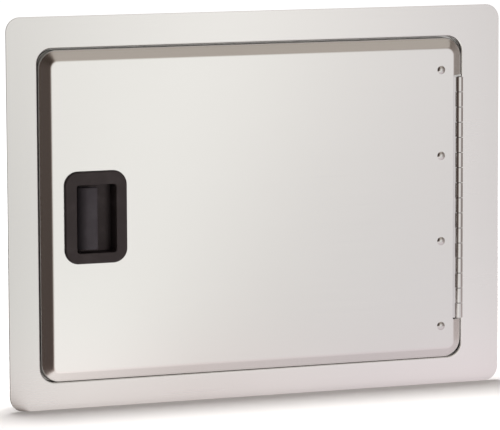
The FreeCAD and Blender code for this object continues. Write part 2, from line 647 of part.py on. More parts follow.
def door_rivet_places():
    x = text(AXIS_X, "-", cell("RivetInset"))
    return [(x, text(MIDDLE, "+", RIVET_PITCH, "*", step)) for step in (-1.5, -0.5, 0.5, 1.5)]


def cup_outline():
    corner = text(cell("RecessCorner"), "+", cell("CupWall"))
    return (*inset(RECESS, text("-", cell("CupWall"))), corner)


def make_door_pan():
    pan = body("door_pan")
    path = sketch(pan, "border_path", "front")
    closed_path(path, PAN, PAN_CORNER)
    section = sketch(pan, "border_section", "side")
    outline(section, border_profile())
    border = pan.newObject("PartDesign::AdditivePipe", "border")
    border.Profile = section
    border.Spine = (path, [])
    border.Transition = "Transformed"
    pan.Tip = border
    doc.recompute()
    face = sketch(pan, "face_outline", "front", FACE_BACK)
    plate_inset = text(cell("SlopeRun"), "+ 0.8")
    rounded(face, *inset(PAN, plate_inset), text(PAN_CORNER, "-", plate_inset))
    pad(pan, "face", face, cell("DoorSheet"))
    run, skin = cell("SlopeRun"), cell("DoorSheet")
    inner_run = text(run, "+", skin, "* tan(", SLOPE, "/ 2)")
    inner_foot = text(cell("FrameSheet"), "-", skin, "* tan(45 deg -", SLOPE, "/ 2)")
    bends = [
        ("face_bend", run, FACE_FRONT, cell("FaceBend")),
        ("face_bend_inside", inner_run, FACE_BACK, text(cell("FaceBend"), "-", skin)),
        ("foot_bend", "0", cell("FrameSheet"), cell("FootBend")),
        ("foot_bend_inside", skin, inner_foot, text(cell("FootBend"), "-", skin)),
        ("back_bend", "0", text("-", cell("PanBack")), cell("BackBend")),
        ("back_bend_inside", skin, text(skin, "-", cell("PanBack")),
         text(cell("BackBend"), "-", skin)),
    ]
    for name, by, front, radius in bends:
        loop = on_loop(inset(PAN, by), text(PAN_CORNER, "-", by), front)
        round_edges(pan, name, edges_where(pan, loop), radius)
    cut_door_openings(pan)
    return pan


def cut_door_openings(pan):
    depth = text(FACE_FRONT, "+", cell("PanBack"), "+ 4")
    notch = sketch(pan, "hinge_notch_outline", "front", text("-", cell("PanBack"), "- 2"))
    half = text(BARREL_LENGTH, "/ 2 +", cell("NotchClearance"))
    rounded(notch, NOTCH_EDGE, text(PAN_RIGHT, "+ 12"), text(MIDDLE, "-", half), text(MIDDLE, "+", half),
            cell("NotchCorner"))
    pocket(pan, "hinge_notch", notch, depth)
    through = sketch(pan, "face_cuts_outline", "front", text(FACE_BACK, "- 1"))
    left, right, bottom, top, corner = cup_outline()
    room = cell("CutoutClearance")
    rounded(through, *inset((left, right, bottom, top), text("-", room)), text(corner, "+", room))
    for x, z in door_rivet_places():
        circle(through, x, z, cell("RivetShank"))
    for x, z in stud_places():
        circle(through, x, z, text(cell("StudRadius"), "+ 0.25"))
    pocket(pan, "face_cuts", through, text(cell("DoorSheet"), "+ 2"))


def make_stiffener():
    """A hat channel that stands upright behind the face and keeps the wide sheet flat."""
    owner = body("door_stiffener")
    x = text(OPEN_LEFT, "+ (", OPEN_RIGHT, "-", OPEN_LEFT, ") *", cell("StiffenerPlace"))
    wide, crown = text(cell("StiffenerWidth"), "/ 2"), text(cell("StiffenerCrown"), "/ 2")
    skin, deep = cell("DoorSheet"), cell("StiffenerDepth")
    face = text("-", FACE_BACK)
    half_profile = [(wide, 0), (wide, skin), (text(crown, "+ 5 +", skin), skin),
                    (text(crown, "+", skin), deep)]
    inner = [(crown, text(deep, "-", skin)), (text(crown, "+ 5"), 0)]
    right = [(text(x, "+", a), text(face, "+", d)) for a, d in half_profile]
    left = [(text(x, "-", a), text(face, "+", d)) for a, d in reversed(half_profile)]
    inner_left = [(text(x, "-", a), text(face, "+", d)) for a, d in reversed(inner)]
    inner_right = [(text(x, "+", a), text(face, "+", d)) for a, d in inner]
    drawn = sketch(owner, "hat_section", "plan", MIDDLE)
    outline(drawn, right + left + inner_left + inner_right)
    length = text(PAN_TOP, "-", PAN_BOTTOM, "- 2 *", cell("StiffenerMargin"))
    pad(owner, "hat", drawn, length, both_ways=True)


# Continuous hinge

def knuckle_row(owner, first_bottom, strip):
    """Every second knuckle of the barrel, each with the strip that joins it to its leaf."""
    drawn = sketch(owner, "knuckle_section", "plan", first_bottom)
    circle(drawn, AXIS_X, text("-", AXIS_FRONT), BARREL_RADIUS)
    knuckle = pad(owner, "knuckle", drawn, KNUCKLE_LENGTH)
    web = sketch(owner, "knuckle_web_section", "plan", first_bottom)
    rectangle(web, *strip)
    joined = pad(owner, "knuckle_web", web, KNUCKLE_LENGTH)
    span = text("2 *", cell("KnucklePitch"), "* (", KNUCKLE_PAIRS, "- 1)")
    repeat(owner, "knuckles", [knuckle, joined], span, KNUCKLE_PAIRS)


def bore_barrel(owner):
    drawn = sketch(owner, "pin_bore_section", "plan", MIDDLE)
    circle(drawn, AXIS_X, text("-", AXIS_FRONT), BORE_RADIUS)
    pocket(owner, "pin_bore", drawn, text(BARREL_LENGTH, "+ 20"), both_ways=True)


def make_frame_leaf():
    leaf = body("hinge_frame_leaf")
    inner, outer = text(OPEN_RIGHT, "-", cell("LeafThickness")), OPEN_RIGHT
    axis_y = text("-", AXIS_FRONT)
    start = text(axis_y, "+", BARREL_RADIUS, "+", cell("KnuckleRelief"))
    plate = sketch(leaf, "leaf_section", "plan", MIDDLE)
    rectangle(plate, inner, outer, start, text(axis_y, "+", cell("FrameLeafDepth")))
    pad(leaf, "leaf", plate, text(BARREL_LENGTH, "-", cell("KnuckleGap")), both_ways=True)
    first = text(BARREL_BOTTOM, "+", cell("KnuckleGap"), "/ 2")
    web = (text(inner, "-", cell("HingeInset")), outer, text(axis_y, "+ 2"), text(start, "+ 1"))
    knuckle_row(leaf, first, web)
    bore_barrel(leaf)
    cut_frame_rivet_holes(leaf)


def make_door_leaf():
    leaf = body("hinge_door_leaf")
    back, front = text("-", FACE_BACK, "+", cell("LeafThickness")), text("-", FACE_BACK)
    edge = text(AXIS_X, "-", BARREL_RADIUS, "-", cell("KnuckleRelief"))
    plate = sketch(leaf, "leaf_section", "plan", MIDDLE)
    rectangle(plate, text(AXIS_X, "-", cell("DoorLeafWidth")), text(NOTCH_EDGE, "- 0.4"), front, back)
    pad(leaf, "leaf", plate, text("2 *", LEAF_HALF), both_ways=True)
    tongue = sketch(leaf, "tongue_section", "plan", MIDDLE)
    rectangle(tongue, text(NOTCH_EDGE, "- 2"), edge, front, back)
    pad(leaf, "tongue", tongue, text(BARREL_LENGTH, "-", cell("KnuckleGap")), both_ways=True)
    first = text(BARREL_BOTTOM, "+", cell("KnucklePitch"), "+", cell("KnuckleGap"), "/ 2")
    knuckle_row(leaf, first, (text(edge, "- 1"), AXIS_X, front, back))
    bore_barrel(leaf)
    holes = sketch(leaf, "rivet_holes", "front", text(FACE_BACK, "-", cell("LeafThickness"), "- 1"))
    for x, z in door_rivet_places():
        circle(holes, x, z, cell("RivetShank"))
    pocket(leaf, "rivets", holes, text(cell("LeafThickness"), "+ 2"))


def make_hinge_pin():
    pin = body("hinge_pin")
    drawn = sketch(pin, "pin_section", "plan", MIDDLE)
    circle(drawn, AXIS_X, text("-", AXIS_FRONT), cell("PinRadius"))
    pad(pin, "rod", drawn, BARREL_LENGTH, both_ways=True)
    ends = []
    for i, edge in enumerate(pin.Tip.Shape.Edges, start=1):
        if edge.Curve.TypeId == "Part::GeomCircle":
            ends.append(f"Edge{i}")
    round_edges(pin, "rounded_ends", ends, 0.6)


def dome(owner, x, y, z, along):
    """The ring of a rivet's low dome around its hollow middle, turned about the rivet's axis. Its seat is
    at 0 and its crown at the dome's height, towards the front or towards the latch side."""
    rim, rise, hollow = cell("RivetHead"), cell("RivetDome"), cell("RivetHollow")
    drop = text(rise, "- (", rise, "^2 +", hollow, "^2 -", rim, "^2) / (2 *", rise, ")")
    drawn = sketch(owner, "dome_outline", "plan", z, across=x, up=y)
    swap = along == "H_Axis"
    points = [(hollow, 0), (rim, 0), (hollow, text("-", rise))]
    points = [(up, across) if swap else (across, up) for across, up in points]
    spots = [Vector(number(a), number(b), 0) for a, b in points]
    centre_up = text(drop, "-", rise)
    centre = (centre_up, 0) if swap else (0, centre_up)
    middle_of = Vector(number(centre[0]), number(centre[1]), 0)
    radius = (spots[1] - middle_of).Length
    turns = [math.atan2(p.y - middle_of.y, p.x - middle_of.x) % (2 * math.pi) for p in spots[1:]]
    drawn.addGeometry(Part.LineSegment(spots[0], spots[1]), False)
    circle_of = Part.Circle(middle_of, Vector(0, 0, 1), radius)
    drawn.addGeometry(Part.ArcOfCircle(circle_of, min(turns), max(turns)), False)
    drawn.addGeometry(Part.LineSegment(spots[2], spots[0]), False)
    rim_end, crown_end = (1, 2) if turns[0] < turns[1] else (2, 1)
    drawn.addConstraint(Sketcher.Constraint("Coincident", 0, 2, 1, rim_end))
    drawn.addConstraint(Sketcher.Constraint("Coincident", 1, crown_end, 2, 1))
    drawn.addConstraint(Sketcher.Constraint("Coincident", 2, 2, 0, 1))
    place_point(drawn, 0, 1, *points[0])
    place_point(drawn, 0, 2, *points[1])
    place_point(drawn, 2, 1, *points[2])
    drawn.addConstraint(Sketcher.Constraint("PointOnObject", 1, 3, -1 if swap else -2))
    made = owner.newObject("PartDesign::Revolution", "dome")
    made.Profile = drawn
    made.ReferenceAxis = (drawn, [along])
    made.Angle = 360
    owner.Tip = made
    doc.recompute()
    return made


def make_door_rivets():
    owner = body("hinge_door_rivets")
    places = door_rivet_places()
    first = dome(owner, places[0][0], text("-", FACE_FRONT), places[0][1], "V_Axis")
    repeat(owner, "domes", [first], text("3 *", RIVET_PITCH), len(places))
    grip_back = text(FACE_BACK, "-", cell("LeafThickness"))
    tail = text(grip_back, "-", cell("RivetTailHeight"))
    core_front = text(FACE_FRONT, "+", cell("RivetDome"), "- 0.4")
    stack(owner, "front", places,
          [(cell("RivetCore"), tail, core_front), (cell("RivetShank"), tail, FACE_FRONT),
           (cell("RivetTail"), tail, grip_back)])


def make_frame_rivets():
    owner = body("hinge_frame_rivets")
    places = frame_rivet_places()
    seat = text(OPEN_RIGHT, "-", cell("LeafThickness"))
    grip_back = text(OPEN_RIGHT, "+", cell("FrameSheet"))
    first = dome(owner, seat, places[0][0], places[0][1], "H_Axis")
    repeat(owner, "domes", [first], FRAME_RIVET_SPAN, len(places))
    tail = text(grip_back, "+", cell("RivetTailHeight"))
    core_front = text(seat, "-", cell("RivetDome"), "+ 0.4")
    stack(owner, "side", places,
          [(cell("RivetCore"), core_front, tail), (cell("RivetShank"), seat, tail),
           (cell("RivetTail"), grip_back, tail)])


# Latch housing

def stud_places():
    aside = text(cell("BezelWidth"), "/ 2 -", cell("StudInset"))
    half = text(cell("StudSpan"), "/ 2")
    return [(text(LATCH_X, a, aside), text(LATCH_Z, b, half)) for a in ("-", "+") for b in ("-", "+")]


def guide_screw_places():
    start = text("(", SLIDE_LEFT, "+", SLIDE_RIGHT, ") / 2 -", cell("GuideScrewSpan"), "/ 2")
    aside = text(cell("BoltHeight"), "/ 2 +", cell("BoltPlay"), "+", cell("GuideSheet"), "+",
                 cell("GuideFoot"), "/ 2")
    return [(text(start, "+", cell("GuideScrewSpan"), "*", step), text(BOLT_Z, sign, aside))
            for step in (0, 1) for sign in ("-", "+")]


def arm_slot():
    """Sides of the slot that the arm swings in, in the cup's floor and in the slide behind it."""
    half = text(cell("ArmThickness"), "/ 2 +", cell("ArmPlay"))
    tall = text(cell("ArmWidth"), "/ 2 +", cell("ArmPlay"))
    return (text(PIVOT_X, "-", half), text(PIVOT_X, "+", half, "+", cell("BoltThrow"), "+ 0.4"),
            text(BOLT_Z, "-", tall), text(BOLT_Z, "+", tall))


def make_latch_housing():
    housing = body("latch_housing")
    bezel = sketch(housing, "bezel_outline", "front", BEZEL_BACK)
    rounded(bezel, *BEZEL, cell("BezelCorner"))
    pad(housing, "bezel", bezel, cell("BezelThickness"))
    cup = sketch(housing, "cup_outline", "front", CUP_BACK)
    rounded(cup, *cup_outline())
    pad(housing, "cup", cup, text(BEZEL_BACK, "+ 1 -", CUP_BACK))
    slide = sketch(housing, "slide_outline", "front", text(BOLT_FRONT, "+", cell("BoltPlay")))
    half = text(cell("BoltHeight"), "/ 2")
    rectangle(slide, SLIDE_LEFT, SLIDE_RIGHT, text(BOLT_Z, "-", half), text(BOLT_Z, "+", half))
    pad(housing, "slide", slide, text(CUP_BACK, "-", BOLT_FRONT, "-", cell("BoltPlay"), "+ 0.5"))
    recess = sketch(housing, "recess_outline", "front", RECESS_FLOOR)
    rounded(recess, *RECESS, cell("RecessCorner"))
    pocket(housing, "recess", recess, text(cell("CupDepth"), "+ 5"))
    round_edges(housing, "bezel_edge",
                edges_where(housing, on_loop(BEZEL, cell("BezelCorner"), BEZEL_FRONT)),
                cell("BezelEdge"))
    round_edges(housing, "recess_edge",
                edges_where(housing, on_loop(RECESS, cell("RecessCorner"), BEZEL_FRONT)),
                cell("RecessEdge"))
    slot = sketch(housing, "arm_slot_outline", "front", text(BOLT_FRONT, "- 2"))
    rectangle(slot, *arm_slot())
    pocket(housing, "arm_slot", slot, text(RECESS_FLOOR, "-", BOLT_FRONT, "+ 3"))
    seats = sketch(housing, "pin_seat_section", "plan", BOLT_Z)
    circle(seats, PIVOT_X, text("-", PIVOT_FRONT), cell("PaddlePin"))
    pocket(housing, "pin_seats", seats, text(cell("RecessHeight"), "+ 2 *", cell("PaddlePinSeat")),
           both_ways=True)
    studs = sketch(housing, "stud_holes", "front", text(BEZEL_BACK, "- 0.2"))
    for x, z in stud_places():
        circle(studs, x, z, cell("StudRadius"))
    pocket(housing, "studs", studs, text(cell("StudBite"), "+ 0.2"))
    screws = sketch(housing, "guide_screw_holes", "front", text(CUP_BACK, "- 0.2"))
    for x, z in guide_screw_places():
        circle(screws, x, z, cell("GuideScrew"))
    pocket(housing, "guide_screw_bores", screws, text(cell("CupWall"), "- 0.2"))


def make_gasket():
    gasket = body("latch_gasket")
    ring = sketch(gasket, "gasket_outline", "front", FACE_FRONT)
    rounded(ring, *inset(BEZEL, text("-", cell("GasketMargin"))),
            text(cell("BezelCorner"), "+", cell("GasketMargin")))
    left, right, bottom, top, corner = cup_outline()
    rounded(ring, *inset((left, right, bottom, top), "-0.1"), text(corner, "+ 0.1"))
    for x, z in stud_places():
        circle(ring, x, z, text(cell("StudRadius"), "+ 0.1"))
    pad(gasket, "ring", ring, cell("GasketThickness"))


def make_clamp_ring():
    clamp = body("latch_clamp_ring")
    ring = sketch(clamp, "clamp_outline", "front", text(FACE_BACK, "-", cell("ClampSheet")))
    rounded(ring, *inset(BEZEL, cell("ClampMargin")), text(cell("BezelCorner"), "-", cell("ClampMargin")))
    left, right, bottom, top, corner = cup_outline()
    room = cell("CutoutClearance")
    rounded(ring, *inset((left, right, bottom, top), text("-", room)), text(corner, "+", room))
    for x, z in stud_places():
        circle(ring, x, z, text(cell("StudRadius"), "+ 0.25"))
    pad(clamp, "ring", ring, cell("ClampSheet"))


def make_studs():
    studs = body("latch_studs")
    start = text(BEZEL_BACK, "+", cell("StudBite"))
    back = text(FACE_BACK, "-", cell("ClampSheet"), "-", cell("NutHeight"), "- 1.8")
    drawn = sketch(studs, "stud_section", "front", back)
    for x, z in stud_places():
        circle(drawn, x, z, cell("StudRadius"))
    pad(studs, "shafts", drawn, text(start, "-", back))
    nuts = body("latch_nuts")
    front = text(FACE_BACK, "-", cell("ClampSheet"))
    drawn = sketch(nuts, "nut_section", "front", text(front, "-", cell("NutHeight")))
    for x, z in stud_places():
        corner = text(cell("NutFlats"), "/ 2 / cos(30 deg)")
        points = [(text(x, "+", corner, f"* cos({turn} deg)"), text(z, "+", corner, f"* sin({turn} deg)"))
                  for turn in range(30, 390, 60)]
        outline(drawn, points)
        circle(drawn, x, z, cell("StudRadius"))
    pad(nuts, "nuts", drawn, cell("NutHeight"))


# Paddle, bolt, guide and spring

def paddle_profile():
    """Corner points of the paddle's section around its pivot, as steps to the hinge side and forwards."""
    crest = text(cell("PivotDepth"), "-", cell("PaddleCrest"))
    wide, wall, boss = cell("PaddleWidth"), cell("PaddleWall"), cell("PaddleBoss")
    return [
        (0, text("-", boss)), (boss, text("-", boss, "* 0.4")),
        (text(boss, "+ 1.2"), text(crest, "-", wall, "- 1.6")),
        (text(wide, "- 1.2"), text(crest, "-", wall, "- 0.8")), (wide, text(crest, "-", wall)),
        (wide, text(crest, "- 1.3")), (text(wide, "* 0.86"), text(crest, "- 0.4")),
        (text(wide, "* 0.6"), crest), (text(wide, "* 0.34"), text(crest, "- 0.5")),
        (text(wide, "* 0.12"), text(crest, "- 2.4")), (text("-", boss, "* 0.75"), text(boss, "* 0.9")),
        (text("-", boss), 0), (text("-", boss, "* 0.7"), text("-", boss, "* 0.7")),
    ]


def make_paddle():
    paddle = body("latch_paddle")
    drawn = sketch(paddle, "paddle_section", "plan", BOLT_Z)
    outline(drawn, [(text(PIVOT_X, "+", a), text("-", PIVOT_FRONT, "-", front))
                    for a, front in paddle_profile()])
    pad(paddle, "grip", drawn, cell("PaddleHeight"), both_ways=True)
    round_paddle_edges(paddle)
    arm = sketch(paddle, "arm_section", "plan", BOLT_Z)
    half = text(cell("ArmThickness"), "/ 2")
    tip_y = text("-", BOLT_MIDDLE)
    rectangle(arm, text(PIVOT_X, "-", half), text(PIVOT_X, "+", half), text("-", PIVOT_FRONT), tip_y)
    pad(paddle, "arm", arm, cell("ArmWidth"), both_ways=True)
    tip = sketch(paddle, "arm_tip_section", "plan", BOLT_Z)
    circle(tip, PIVOT_X, tip_y, cell("ArmTip"))
    pad(paddle, "arm_tip", tip, cell("ArmWidth"), both_ways=True)
    bore = sketch(paddle, "pivot_bore_section", "plan", BOLT_Z)
    circle(bore, PIVOT_X, text("-", PIVOT_FRONT), text(cell("PaddlePin"), "+", cell("PaddlePinPlay")))
    pocket(paddle, "pivot_bore", bore, text(cell("PaddleHeight"), "+ 4"), both_ways=True)


def round_paddle_edges(paddle):
    """Softens the grip's two end outlines and its free edge."""
    half = number(cell("PaddleHeight")) / 2
    middle = number(BOLT_Z)
    front = -number(text(PIVOT_FRONT, "+", cell("PaddleBoss")))
    names = edges_where(paddle, lambda p: abs(abs(p.z - middle) - half) < 0.01 and p.y < front)
    round_edges(paddle, "grip_ends", names, 0.7)


def make_paddle_pin():
    pin = body("paddle_pin")
    drawn = sketch(pin, "pin_section", "plan", BOLT_Z)
    circle(drawn, PIVOT_X, text("-", PIVOT_FRONT), cell("PaddlePin"))
    pad(pin, "rod", drawn, text(cell("RecessHeight"), "+ 2 *", cell("PaddlePinSeat")), both_ways=True)


def make_bolt():
    """A flat bolt with a ramp behind its tip, so that the door can be pushed shut past the strike."""
    bolt = body("latch_bolt")
    front, back = text("-", BOLT_FRONT), text("-", BOLT_BACK)
    drawn = sketch(bolt, "bolt_section", "plan", BOLT_Z)
    outline(drawn, [(BOLT_TIP, front), (BOLT_END, front), (BOLT_END, back),
                    (text(BOLT_TIP, "+", cell("BoltEngage")), back),
                    (BOLT_TIP, text(back, "-", cell("BoltRamp")))])
    pad(bolt, "bar", drawn, cell("BoltHeight"), both_ways=True)
    window = sketch(bolt, "window_outline", "front", text(BOLT_BACK, "- 1"))
    tall = text(cell("ArmWidth"), "/ 2 +", cell("ArmPlay"))
    rectangle(window, text(PIVOT_X, "-", WINDOW_HALF), text(PIVOT_X, "+", WINDOW_HALF),
              text(BOLT_Z, "-", tall), text(BOLT_Z, "+", tall))
    pocket(bolt, "window", window, text(cell("BoltThickness"), "+ 2"))


def make_guide():
    """A folded cover with two feet, and an end tab that the spring pushes on."""
    guide = body("bolt_guide")
    side = text(cell("BoltHeight"), "/ 2 +", cell("BoltPlay"))
    skin = cell("GuideSheet")
    outer = text(side, "+", skin)
    foot = text(outer, "+", cell("GuideFoot"))
    front, back = text("-", CUP_BACK), text("-", GUIDE_BACK)
    inner_back = text("-", GUIDE_FRONT)
    foot_back = text(front, "+", skin)
    drawn = sketch(guide, "cover_section", "side", SLIDE_LEFT)
    upper = [(front, side), (front, foot), (foot_back, foot), (foot_back, outer), (back, outer)]
    right = [(y, text(BOLT_Z, "+", z)) for y, z in upper]
    left = [(y, text(BOLT_Z, "-", z)) for y, z in reversed(upper)]
    inside = [(inner_back, text(BOLT_Z, "-", side)), (inner_back, text(BOLT_Z, "+", side))]
    outline(drawn, right + left + inside)
    pad(guide, "cover", drawn, cell("SlideLength"))
    tab = sketch(guide, "end_tab_section", "side", text(SLIDE_RIGHT, "-", skin))
    rectangle(tab, text("-", BOLT_FRONT), text(back, "- 0.5"), text(BOLT_Z, "-", side, "- 0.5"),
              text(BOLT_Z, "+", side, "+ 0.5"))
    pad(guide, "end_tab", tab, skin)
    holes = sketch(guide, "foot_holes", "front", text(CUP_BACK, "-", skin, "- 1"))
    for x, z in guide_screw_places():
        circle(holes, x, z, cell("GuideScrew"))
    pocket(guide, "foot_screws", holes, text(skin, "+ 2"))


def make_guide_screws():
    screws = body("guide_screws")
    seat = text(CUP_BACK, "-", cell("GuideSheet"))
    top = text(seat, "-", cell("GuideScrewHeadHeight"))
    end = text(CUP_BACK, "+", cell("CupWall"), "- 0.4")
    stack(screws, "front", guide_screw_places(),
          [(cell("GuideScrew"), seat, end), (cell("GuideScrewHead"), top, seat)])
    round_rims(screws, "head_rims", cell("GuideScrewHead"), [top], 0.6)


def make_bolt_spring():
    """A compression spring of real turns between the bolt's end and the guide's tab. Its path is short
    arcs that touch each other in direction: each quarter turn climbs by the same amount."""
    wire, mean = number(cell("SpringWire")) / 2, number(cell("SpringRadius"))
    turns = int(round(number(cell("SpringTurns"))))
    start = number(BOLT_END) + wire + 0.05
    end = number(text(SLIDE_RIGHT, "-", cell("GuideSheet"))) - wire - 0.05
    y, z = -number(BOLT_MIDDLE), number(BOLT_Z)
    climb = (end - start) / (turns * 4)

    def spot(quarter):
        turn = quarter * math.pi / 2
        return Vector(start + climb * quarter, y + mean * math.cos(turn), z + mean * math.sin(turn))

    arcs = []
    for quarter in range(turns * 4):
        arcs.append(Part.Arc(spot(quarter), spot(quarter + 0.5), spot(quarter + 1)).toShape())
    path = Part.Wire(arcs)
    first = arcs[0]
    heading = first.tangentAt(first.FirstParameter)
    ring = Part.Wire([Part.Circle(spot(0), heading, wire).toShape()])
    tube = path.makePipeShell([ring], True, False)
    spring = doc.addObject("Part::Feature", "bolt_spring")
    spring.Label = "bolt_spring"
    spring.Shape = tube
    spring.Placement = Placement(Vector(0, 0, 0), Rotation())
    pitch = climb * 4
    print(f"bolt_spring: {turns} turns, pitch {pitch:.2f} mm, gap to itself {pitch - 2 * wire:.2f} mm")


make_face_frame()
make_stops()
make_strike()
make_strike_screws()
make_bumpers()
make_frame_leaf()
make_frame_rivets()
make_hinge_pin()
make_door_pan()
make_stiffener()
make_door_leaf()
make_door_rivets()
make_latch_housing()
make_gasket()
make_clamp_ring()
make_studs()
make_paddle()
make_paddle_pin()
make_bolt()
make_guide()
make_guide_screws()
make_bolt_spring()
doc.recompute()

pieces = [o for o in doc.Objects
          if o.TypeId == "PartDesign::Body" or (o.TypeId == "Part::Feature" and o.Label == "bolt_spring")]
for item in doc.Objects:
    if {"Invalid", "Error"} & set(item.State):
        raise RuntimeError(f"{item.Name} did not build: {item.State}")
for piece in pieces:
    if piece.Shape.isNull() or not piece.Shape.isValid():
        raise RuntimeError(f"{piece.Label} has no valid shape")

os.makedirs("parts", exist_ok=True)
for piece in pieces:
    piece.Shape.exportStep(f"parts/{piece.Label}.step")
    box = piece.Shape.BoundBox
    print(f"{piece.Label:20s} {len(piece.Shape.Solids)} solids, {piece.Shape.Volume:10.1f} mm3,",
          f"x {box.XMin:.1f} to {box.XMax:.1f}, y {box.YMin:.1f} to {box.YMax:.1f},",
          f"z {box.ZMin:.1f} to {box.ZMax:.1f}")
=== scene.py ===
import json
import math

import bpy
from mathutils import Matrix, Vector


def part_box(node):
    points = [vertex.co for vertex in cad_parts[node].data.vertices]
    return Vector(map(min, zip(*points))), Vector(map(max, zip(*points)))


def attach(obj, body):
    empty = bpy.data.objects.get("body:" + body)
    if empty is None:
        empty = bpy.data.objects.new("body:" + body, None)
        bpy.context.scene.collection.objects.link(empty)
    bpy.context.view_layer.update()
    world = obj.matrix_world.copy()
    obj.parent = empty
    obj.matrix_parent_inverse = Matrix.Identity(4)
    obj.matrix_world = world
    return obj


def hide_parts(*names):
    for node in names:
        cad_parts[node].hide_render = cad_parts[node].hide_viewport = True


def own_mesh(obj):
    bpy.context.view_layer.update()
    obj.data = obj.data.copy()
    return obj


# Looks for a stainless island access door: brushed face frame and raised door, drawn hinge, domed
# rivets, moulded black paddle latch. Lengths are metres. X runs from the latch to the hinge, Y into
# the island and Z up.

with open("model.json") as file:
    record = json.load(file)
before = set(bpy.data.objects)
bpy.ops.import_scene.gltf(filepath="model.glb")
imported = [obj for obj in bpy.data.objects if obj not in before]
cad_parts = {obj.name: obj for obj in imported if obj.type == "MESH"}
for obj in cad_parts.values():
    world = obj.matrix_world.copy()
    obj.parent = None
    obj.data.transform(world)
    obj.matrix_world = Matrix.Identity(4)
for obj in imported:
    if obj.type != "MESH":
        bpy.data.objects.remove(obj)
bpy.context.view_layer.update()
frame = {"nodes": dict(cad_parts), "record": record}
nodes = frame["nodes"]


# Shader trees

class Wire:
    """A shader socket that can be used in sums: an operator adds the Math node it needs."""

    def __init__(self, tree, socket):
        self.tree = tree
        self.socket = socket

    def maths(self, operation, *values):
        return self.tree.add("ShaderNodeMath", {"operation": operation}, dict(enumerate(values)))

    def __add__(self, other):
        return self.maths("ADD", self, other)

    __radd__ = __add__

    def __sub__(self, other):
        return self.maths("SUBTRACT", self, other)

    def __rsub__(self, other):
        return self.maths("SUBTRACT", other, self)

    def __mul__(self, other):
        return self.maths("MULTIPLY", self, other)

    __rmul__ = __mul__

    def __pow__(self, other):
        return self.maths("POWER", self, other)

    def most(self, other):
        return self.maths("MAXIMUM", self, other)

    def least(self, other):
        return self.maths("MINIMUM", self, other)

    def between(self, low, high):
        """0 below low, 1 above high, a smooth step between."""
        settings = {"interpolation_type": "SMOOTHSTEP"}
        return self.tree.add("ShaderNodeMapRange", settings, {0: self, 1: low, 2: high})

    def swing(self, size):
        """A noise as a change about zero, of this size from its lowest to its highest."""
        return (self - 0.5) * size


class Tree:
    """Adds nodes to one shader tree. Settings are set before the sockets get values or links."""

    def __init__(self, owner):
        owner.use_nodes = True
        self.nodes = owner.node_tree.nodes
        self.links = owner.node_tree.links
        self.nodes.clear()

    def add(self, kind, settings, sockets, out=0):
        node = self.nodes.new(kind)
        for name, value in settings.items():
            setattr(node, name, value)
        for name, value in sockets.items():
            if isinstance(value, Wire):
                self.links.new(value.socket, node.inputs[name])
            else:
                node.inputs[name].default_value = value
        return Wire(self, node.outputs[out])

    def place(self):
        """The surface's own coordinates, in metres."""
        return self.add("ShaderNodeTexCoord", {}, {}, out="Object")

    def parts(self, vector):
        """The three numbers of a vector."""
        first = self.add("ShaderNodeSeparateXYZ", {}, {0: vector})
        return [Wire(self, socket) for socket in first.socket.node.outputs]

    def times(self, first, second):
        """Two vectors or colours multiplied number by number. A constant has three numbers."""
        return self.add("ShaderNodeVectorMath", {"operation": "MULTIPLY"}, {0: first, 1: second})

    def scaled(self, vector, factor):
        settings = {"operation": "SCALE"}
        return self.add("ShaderNodeVectorMath", settings, {0: vector, "Scale": factor})

    def noise(self, where, scale, detail, roughness):
        sockets = {"Vector": where, "Scale": scale, "Detail": detail, "Roughness": roughness}
        return self.add("ShaderNodeTexNoise", {"noise_dimensions": "3D"}, sockets)

    def blend(self, share, first, second):
        """A colour between two colours."""
        sockets = {"Factor": share, 6: first, 7: second}
        return self.add("ShaderNodeMix", {"data_type": "RGBA"}, sockets, out=2)

    def steps(self, amount, stops):
        """A colour that follows an amount through stops, each an amount and its colour."""
        colour = stops[0][1]
        for (low, _), (high, tint) in zip(stops, stops[1:]):
            share = self.add("ShaderNodeMapRange", {}, {0: amount, 1: low, 2: high})
            colour = self.blend(share, colour, tint)
        return colour

    def bump(self, height, strength, distance):
        sockets = {"Height": height, "Strength": strength, "Distance": distance}
        return self.add("ShaderNodeBump", {}, sockets)

    def glow(self, colour):
        return self.add("ShaderNodeEmission", {}, {"Color": colour})

    def either(self, share, first, second):
        return self.add("ShaderNodeMixShader", {}, {0: share, 1: first, 2: second})

    def ray(self, kind):
        return self.add("ShaderNodeLightPath", {}, {}, out=f"Is {kind} Ray")

    def finish(self, kind, shader):
        self.links.new(shader.socket, self.nodes.new(kind).inputs[0])

    def surface(self, sockets):
        shader = self.add("ShaderNodeBsdfPrincipled", {}, sockets)
        self.finish("ShaderNodeOutputMaterial", shader)

    def bare_metal(self, colour, light, rough, relief):
        """Metal whose colour is made lighter or darker from place to place."""
        self.surface({"Base Color": self.scaled(colour[:3], light), "Metallic": 1.0,
                      "Roughness": rough, "Normal": relief})


def rgb(red, green, blue):
    return (red, green, blue, 1.0)


def toned(colour, factor, lift=0.0):
    """A constant colour made darker or paler."""
    return rgb(*(part * factor + lift for part in colour[:3]))


def new_material(name):
    made = bpy.data.materials.new(name)
    return made, Tree(made)


# Finishes

GRAIN_STRETCH = (0.012, 1.0, 1.0)    # draws specks out into scratches across the width
FOLD_WIDTH = 0.004
DENT_SIZE = 14.0    # in specks


